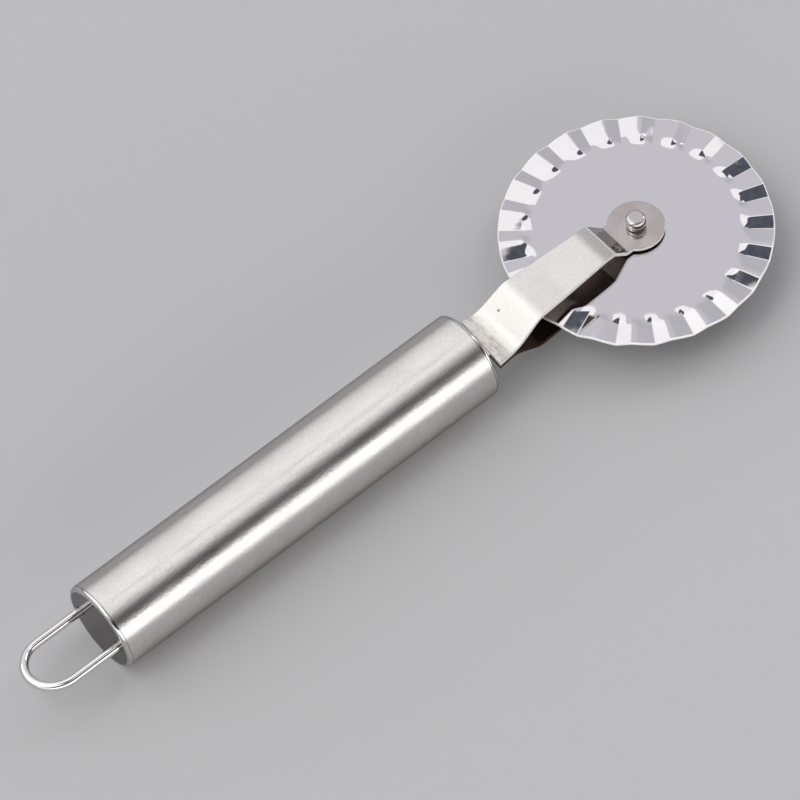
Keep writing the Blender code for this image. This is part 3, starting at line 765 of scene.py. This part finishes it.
# %% [markdown]
# ## The rivet and its washers
# The rivet was upset at both ends: a low head under the fork and a taller button above it, on a short collar with a
# fine groove below. The button's top is nearly flat with a soft shoulder. Two thin washers keep the wheel clear of
# the fork.

# %% The axle
EYE_TOP = EYE_HEIGHT + ARM_THICKNESS / 2
SHANK_RADIUS, NECK_RADIUS, HEAD_RADIUS = 0.0018, 0.00216, 0.00225
COLLAR_TOP, BULGE, BAND, HEAD_TOP = 0.0030, 0.0005, 0.0003, 0.00485
LOW_HEAD_RADIUS, LOW_HEAD_HEIGHT, FACE_GAP, GROOVE = 0.0027, 0.0011, 0.0001, 0.00018
COLLAR_ROUNDING, WAIST_DEPTH = 0.0001, 0.0002
TOP_EDGE, TOP_RING, TOP_FLAT, TOP_CROWN = 0.00160, 0.00140, 0.00136, 0.00006
WASHER_RADIUS, WASHER_LOW, WASHER_HIGH = 0.0042, 0.00045, 0.00085
PIN_SIDES = 96


def rivet_outline():
    """The rivet from its low head up, as (height, radius) pairs."""
    base, low_edge = -(EYE_TOP + FACE_GAP), LOW_HEAD_HEIGHT / 2
    outline = [(base - LOW_HEAD_HEIGHT, 0), (base - LOW_HEAD_HEIGHT, LOW_HEAD_RADIUS - low_edge)]
    outline += quarter_round(outline[-1], (base - low_edge, LOW_HEAD_RADIUS), True)
    collar = EYE_TOP + FACE_GAP + GROOVE
    outline += [(base, LOW_HEAD_RADIUS), (base, SHANK_RADIUS), (collar, SHANK_RADIUS)]
    outline += [(collar, NECK_RADIUS - COLLAR_ROUNDING)]
    outline += quarter_round(outline[-1], (collar + COLLAR_ROUNDING, NECK_RADIUS), True, steps=5)
    outline += [(COLLAR_TOP - COLLAR_ROUNDING, NECK_RADIUS)]
    outline += quarter_round(outline[-1], (COLLAR_TOP, NECK_RADIUS - WAIST_DEPTH), False, steps=5)
    outline += quarter_round(outline[-1], (COLLAR_TOP + BULGE, HEAD_RADIUS), True)
    outline += [(COLLAR_TOP + BULGE + BAND, HEAD_RADIUS)]
    outline += quarter_round(outline[-1], (HEAD_TOP - TOP_CROWN, TOP_EDGE), False)
    outline += quarter_round(outline[-1], (HEAD_TOP, TOP_RING), False, steps=4)
    return outline + [(HEAD_TOP, TOP_FLAT), (HEAD_TOP, 0)]


rivet = place("axle_dressed", turned(rivet_outline(), PIN_SIDES, "Z"), rivet_steel)
rivet.data.set_sharp_from_angle(angle=radians(40))
hand_over(rivet, "handle", "polished_steel", "axle_rivet")
for side, word in ((1, "upper"), (-1, "lower")):
    low, high = side * WASHER_LOW, side * WASHER_HIGH
    ring = [(low, AXLE_HOLE_RADIUS), (low, WASHER_RADIUS), (high, WASHER_RADIUS), (high, AXLE_HOLE_RADIUS)]
    washer = place(f"washer_{word}_dressed", turned(ring, PIN_SIDES, "Z"), satin_steel, rounding=0.00006)
    hand_over(washer, "handle", "arm_steel", f"spacer_washer_{word}")

# %% [markdown]
# ## The handle
# The grip is a thin tube, open at both ends, with a pressed cap in each. A cap is a flat face with a rounded
# shoulder that ends flush with the tube, and a skirt that holds it from inside. Between the tube's rim and the
# shoulder stays a hair-thin joint, which shows as a dark line round the end.

# %% The tube
TUBE_RADIUS, TUBE_WALL, TUBE_LENGTH, SEAM = 0.01014, 0.0010, 0.0995, 0.0001
FRONT_SHOULDER, REAR_SHOULDER = (0.0010, 0.0014), (0.0008, 0.0009)  # the length and depth of each cap's shoulder
TUBE_BORE_RADIUS, TUBE_FRONT_X = TUBE_RADIUS - TUBE_WALL, FRONT_FACE_X - FRONT_SHOULDER[0] - SEAM
TUBE_REAR_X = TUBE_FRONT_X - TUBE_LENGTH
REAR_FACE_X = TUBE_REAR_X - SEAM - REAR_SHOULDER[0]
ROUND_SIDES, TUBE_RINGS = 192, 24
bore = [(TUBE_FRONT_X, TUBE_BORE_RADIUS), (TUBE_FRONT_X, TUBE_RADIUS)]
shell = [(TUBE_FRONT_X - TUBE_LENGTH * k / TUBE_RINGS, TUBE_RADIUS) for k in range(1, TUBE_RINGS)]
rear = [(TUBE_REAR_X, TUBE_RADIUS), (TUBE_REAR_X, TUBE_BORE_RADIUS)]
tube = place("tube_dressed", turned(bore + shell + rear, ROUND_SIDES, "X"), brushed_steel, rounding=0.00008)
hand_over(tube, "handle", "tube_steel", "handle_tube")

# %% [markdown]
# ## The caps
# The front cap has one slot for both strips of the fork, the rear cap a round hole for each leg of the loop. They
# are cut with Booleans before the edges are rounded, because a hole through a curved shell is simplest to state as
# the shape that is taken away.

# %% The caps and their cuts
CAP_WALL, SKIRT_LENGTH, FIT, LEG_TO_SKIRT = 0.0009, 0.0050, 0.0002, 0.00044
SKIRT_RADIUS = TUBE_BORE_RADIUS - FIT
SKIRT_BORE_RADIUS = SKIRT_RADIUS - CAP_WALL
SLOT_WIDTH, SLOT_HEIGHT, SLOT_DEPTH = TANG_WIDTH + 2 * FIT, 0.0023, 0.0040
WIRE_RADIUS, LOOP_ROLL = 0.0010, radians(-9)
LOOP_HALF_WIDTH = SKIRT_BORE_RADIUS - LEG_TO_SKIRT - WIRE_RADIUS
FACE_RING, CAP_ROUNDING = 0.0002, 0.00005
HOLE_DEPTH, HOLE_INSIDE = 0.0060, 0.0012
STRAIGHT_BACK = -0.999


def cap_bmesh(face_x, outwards, shoulder_length, shoulder_depth):
    """A cap's shell: the flat face, the rounded shoulder and the skirt."""
    rim_x, floor_x = face_x - outwards * shoulder_length, face_x - outwards * CAP_WALL
    skirt_x, face_radius = rim_x - outwards * SKIRT_LENGTH, TUBE_RADIUS - shoulder_depth
    outline = [(face_x, 0), (face_x, face_radius - FACE_RING), (face_x, face_radius)]
    outline += quarter_round((face_x, face_radius), (rim_x, TUBE_RADIUS), True, steps=12)
    outline += [(rim_x, SKIRT_RADIUS), (skirt_x, SKIRT_RADIUS)]
    outline += [(skirt_x, SKIRT_BORE_RADIUS), (floor_x, SKIRT_BORE_RADIUS), (floor_x, 0)]
    return turned(outline, ROUND_SIDES, "X")


def slot_bmesh():
    """The shape of the slot for the two tangs."""
    bm = bmesh.new()
    size = Matrix.Diagonal((SLOT_DEPTH, SLOT_WIDTH, SLOT_HEIGHT, 1))
    bmesh.ops.create_cube(bm, size=1, matrix=Matrix.Translation((FRONT_FACE_X, 0, 0)) @ size)
    return bm


def leg_holes_bmesh():
    """The shape of the two round holes for the wire."""
    bm = bmesh.new()
    hole_radius = WIRE_RADIUS + FIT
    for side in (1, -1):
        centre = Matrix.Rotation(LOOP_ROLL, 4, "X") @ Vector((0, side * LOOP_HALF_WIDTH, 0))
        centre.x = REAR_FACE_X + HOLE_INSIDE
        turn = Matrix.Translation(centre) @ Matrix.Rotation(pi / 2, 4, "Y")
        size = {"segments": 48, "radius1": hole_radius, "radius2": hole_radius, "depth": HOLE_DEPTH}
        bmesh.ops.create_cone(bm, cap_ends=True, matrix=turn, **size)
    return bm


def cut_cap(name, cap, cutter, node):
    """Takes the cutter out of the cap, then rounds the cut edges. The rear cap's flat plate gets a painted dark
    reflection.
    """
    piece, tool = place(name, cap, polished_steel), place(name + "_tool", cutter, polished_steel)
    boolean = piece.modifiers.new("cut", "BOOLEAN")
    boolean.operation, boolean.object = "DIFFERENCE", tool
    round_edges(piece, CAP_ROUNDING, 2, radians(50))
    baked(piece)
    bpy.data.objects.remove(tool)
    piece.data.materials.append(plate_steel)
    for polygon in piece.data.polygons:
        if polygon.normal.x < STRAIGHT_BACK and polygon.center.x < hub.x + REAR_FACE_X + SEAM:
            polygon.material_index = len(piece.data.materials) - 1
    hand_over(piece, "handle", "polished_steel", node)


cut_cap("front_cap_dressed", cap_bmesh(FRONT_FACE_X, 1, *FRONT_SHOULDER), slot_bmesh(), "front_cap")
cut_cap("rear_cap_dressed", cap_bmesh(REAR_FACE_X, -1, *REAR_SHOULDER), leg_holes_bmesh(), "rear_cap")

# %% [markdown]
# ## The hanging loop
# The loop is a length of round wire: two straight legs and half a circle, rolled a little out of level. Wire follows
# a path, so Geometry Nodes sweep a circle along it. The path goes in as a bare line of points, and the tree's inputs
# are the wire's radius and how round it is.

# %% The wire along its path
LOOP_REACH, LEG_IN_CAP, LOOP_STEPS = 0.0192, 0.0060, 72


def wire_tree():
    """Sweeps a circle along a line of points."""
    inputs = [("Line", "Geometry", None), ("Wire radius", "Float", 0.001), ("Wire sides", "Int", 32)]
    inputs += [("Steel", "Material", None)]
    tree, given, result = new_group("bent wire", "GeometryNodeTree", inputs, [("Wire", "Geometry")])
    path = add(tree, "GeometryNodeMeshToCurve", (given["Line"],)).outputs[0]
    feeds = {"Resolution": given["Wire sides"], "Radius": given["Wire radius"]}
    circle = add(tree, "GeometryNodeCurvePrimitiveCircle", feeds).outputs[0]
    feeds = {"Curve": path, "Profile Curve": circle, "Fill Caps": True}
    swept = add(tree, "GeometryNodeCurveToMesh", feeds).outputs[0]
    smooth = add(tree, "GeometryNodeSetShadeSmooth", (swept,)).outputs[0]
    whole = add(tree, "GeometryNodeRealizeInstances", (smooth,)).outputs[0]
    steel = add(tree, "GeometryNodeSetMaterial", {"Geometry": whole, "Material": given["Steel"]}).outputs[0]
    tree.links.new(steel, result[0])
    return tree


def loop_line():
    """The middle of the wire as a line of points from leg to leg."""
    leg_x, centre_x = REAR_FACE_X + LEG_IN_CAP, REAR_FACE_X - LOOP_REACH + WIRE_RADIUS + LOOP_HALF_WIDTH
    points = [(leg_x, LOOP_HALF_WIDTH, 0)]
    for k in range(LOOP_STEPS + 1):
        turn = pi / 2 + pi * k / LOOP_STEPS
        points.append((centre_x + LOOP_HALF_WIDTH * cos(turn), LOOP_HALF_WIDTH * sin(turn), 0))
    points.append((leg_x, -LOOP_HALF_WIDTH, 0))
    mesh = bpy.data.meshes.new("loop_dressed")
    mesh.from_pydata(points, [(k, k + 1) for k in range(len(points) - 1)], [])
    mesh.transform(Matrix.Translation(hub) @ Matrix.Rotation(LOOP_ROLL, 4, "X"))
    return mesh


loop = bpy.data.objects.new("loop_dressed", loop_line())
bpy.context.scene.collection.objects.link(loop)
run_tree(loop, wire_tree(), wire_radius=WIRE_RADIUS, wire_sides=32, steel=wire_steel)
loop.data.set_sharp_from_angle(angle=radians(50))
hand_over(loop, "handle", "polished_steel", "hanging_loop")

# %% [markdown]
# ## The floor and the studio
# The tool lies on a plain pale floor under a soft studio sky. Polished steel has no look of its own: it shows what
# stands around it. So the sky holds what a product photographer sets up, as fields of light with straight edges: a
# large white screen behind and to the left, a dimmer wall to the right, a dark gap overhead where the camera is with
# a narrow dark ledge beside it, a lamp beyond each end of the tool, and a low white card in front. The lamps stand
# where only the tube's brushed grain can reach them, and they keep its upper band even. Each edge is a plane through
# the middle of the scene, so one group draws them all. Each plane is a direction and a softness, a field lies on the
# side that its directions point to, and a later field covers an earlier one.

# %% The floor
FLOOR_RADIUS = 3.0
floor_mesh = bpy.data.meshes.new("floor")
bm = bmesh.new()
bmesh.ops.create_circle(bm, cap_ends=True, segments=128, radius=FLOOR_RADIUS)
bm.to_mesh(floor_mesh)
bm.free()
floor = bpy.data.objects.new("floor", floor_mesh)
bpy.context.scene.collection.objects.link(floor)
floor_paint = bpy.data.materials.new("pale_floor")
floor_paint.use_nodes = True
paint_inputs = floor_paint.node_tree.nodes["Principled BSDF"].inputs
paint_inputs["Base Color"].default_value = (0.50, 0.50, 0.51, 1.0)
paint_inputs["Roughness"].default_value = 0.9
paint_inputs["Specular IOR Level"].default_value = 0.2
floor_mesh.materials.append(floor_paint)
floor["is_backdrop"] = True
print("floor:", FLOOR_RADIUS, "m in radius")


# %% The sky's fields of light
def edge_group():
    """A mask of the directions on one side of a plane through the middle."""
    inputs = [("Direction", "Vector", None), ("Plane", "Vector", (0.0, 0.0, 1.0)), ("Softness", "Float", 0.05)]
    tree, given, result = new_group("panel edge", "ShaderNodeTree", inputs, [("Mask", "Float")])
    unit = add(tree, "ShaderNodeVectorMath", (given[1],), operation="NORMALIZE").outputs[0]
    side = add(tree, "ShaderNodeVectorMath", (given[0], unit), operation="DOT_PRODUCT").outputs["Value"]
    low = sum_of(tree, "MULTIPLY", given[2], -0.5)
    high = sum_of(tree, "MULTIPLY", given[2], 0.5)
    tree.links.new(mapped(tree, side, low, high), result[0])
    return tree


edges = edge_group()
world = bpy.data.worlds.new("studio")
bpy.context.scene.world = world
world.use_nodes = True
tree = world.node_tree
direction = add(tree, "ShaderNodeTexCoord").outputs["Generated"]


def field(*planes):
    """The mask of what lies on the inner side of every (plane, softness)."""
    masks = [group_value(tree, edges, direction, plane, softness) for plane, softness in planes]
    whole = masks[0]
    for mask in masks[1:]:
        whole = sum_of(tree, "MULTIPLY", whole, mask)
    return whole


WALL, DIM_WALL, SCREEN, SCREEN_END = (0.875, 0.855, 0.905), (0.70, 0.695, 0.735), (1.41, 1.40, 1.39), (1.62, 1.60, 1.58)
FRONT, HORIZON, CARD = (0.05, 0.05, 0.055), (0.30, 0.30, 0.31), (1.95, 1.92, 1.89)
GAP, GAP_LIGHT, LEFT_LAMP, RIGHT_LAMP = (0.10, 0.11, 0.14), (0.145, 0.155, 0.185), (3.05, 3.0, 2.95), (4.4, 4.33, 4.26)
across, back, high = add(tree, "ShaderNodeSeparateXYZ", (direction,)).outputs
dim = sum_of(tree, "MULTIPLY", mapped(tree, across, 0.42, 0.68), mapped(tree, back, 0.84, 0.60))
screen = blended(tree, mapped(tree, across, 0.10, -0.15), SCREEN, SCREEN_END)
screen = blended(tree, mapped(tree, across, -0.25, -0.45), screen, SCREEN)
mottled = add(tree, "ShaderNodeTexNoise", {"Vector": direction, "Scale": 45.0, "Detail": 3.0}).outputs[0]
dark = blended(tree, mapped(tree, mottled, 0.35, 0.65), GAP, GAP_LIGHT)
gap = field(((-0.75, -1.0, 0.28), 0.03), ((1.0, 0.0, 0.15), 0.16), ((0.0, 1.0, 0.10), 0.08))
ledge = [((0.0, -1.0, 0.19), 0.04), ((1.0, 0.0, 0.15), 0.16), ((-0.8, 1.0, 0.336), 0.06), ((-1.0, 0.0, 0.57), 0.06)]
sky = WALL
for mask, light in (
    (dim, DIM_WALL),
    (field(((-0.70, -0.28, 0.427), 0.03)), screen),
    (field(((0.0, -1.0, -0.385), 0.54)), FRONT),
    (sum_of(tree, "MAXIMUM", gap, field(*ledge)), dark),
    (field(((-1.0, 0.0, -0.25), 0.10), ((0.0, 1.0, 0.01), 0.08), ((0.0, -1.0, 0.30), 0.08)), LEFT_LAMP),
    (field(((1.0, 0.0, -0.82), 0.06), ((0.0, 1.0, 0.02), 0.08), ((0.0, -1.0, 0.15), 0.08)), RIGHT_LAMP),
    (mapped(tree, high, 0.34, 0.06), HORIZON),
    (field(((0.0, -1.0, -1.67), 0.05), ((0.0, 0.0, 1.0), 0.03)), CARD),
):
    sky = blended(tree, mask, sky, light)
tree.links.new(sky, tree.nodes["Background"].inputs["Color"])
print("studio:", world.name)

# %% [markdown]
# ## The camera
# The photograph was taken from a good metre away with a long lens, from the front left and high above. The camera's
# place and turn come from fitting the solids' outlines to the picture.

# %% The camera
camera_data = bpy.data.cameras.new("camera")
camera_data.sensor_width, camera_data.lens = 36.0, 238.5  # millimetres
camera_data.clip_start, camera_data.clip_end = 0.01, 20.0
camera = bpy.data.objects.new("camera", camera_data)
bpy.context.scene.collection.objects.link(camera)
camera.location = (-0.349397, -0.503741, 0.952779)
camera.rotation_euler = [radians(turn) for turn in (32.985376, 3.423246, -40.169713)]
bpy.context.scene.camera = camera
bpy.context.scene.view_settings.view_transform = "Standard"
print("camera", [round(value, 3) for value in camera.location])

# %% Compare the sizes and finish
dressed_box = [list(corner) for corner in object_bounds()]
for name, found in (("CAD", cad_box), ("dressed", dressed_box)):
    print(name, "box in mm:", [[round(value * 1000, 3) for value in corner] for corner in found])
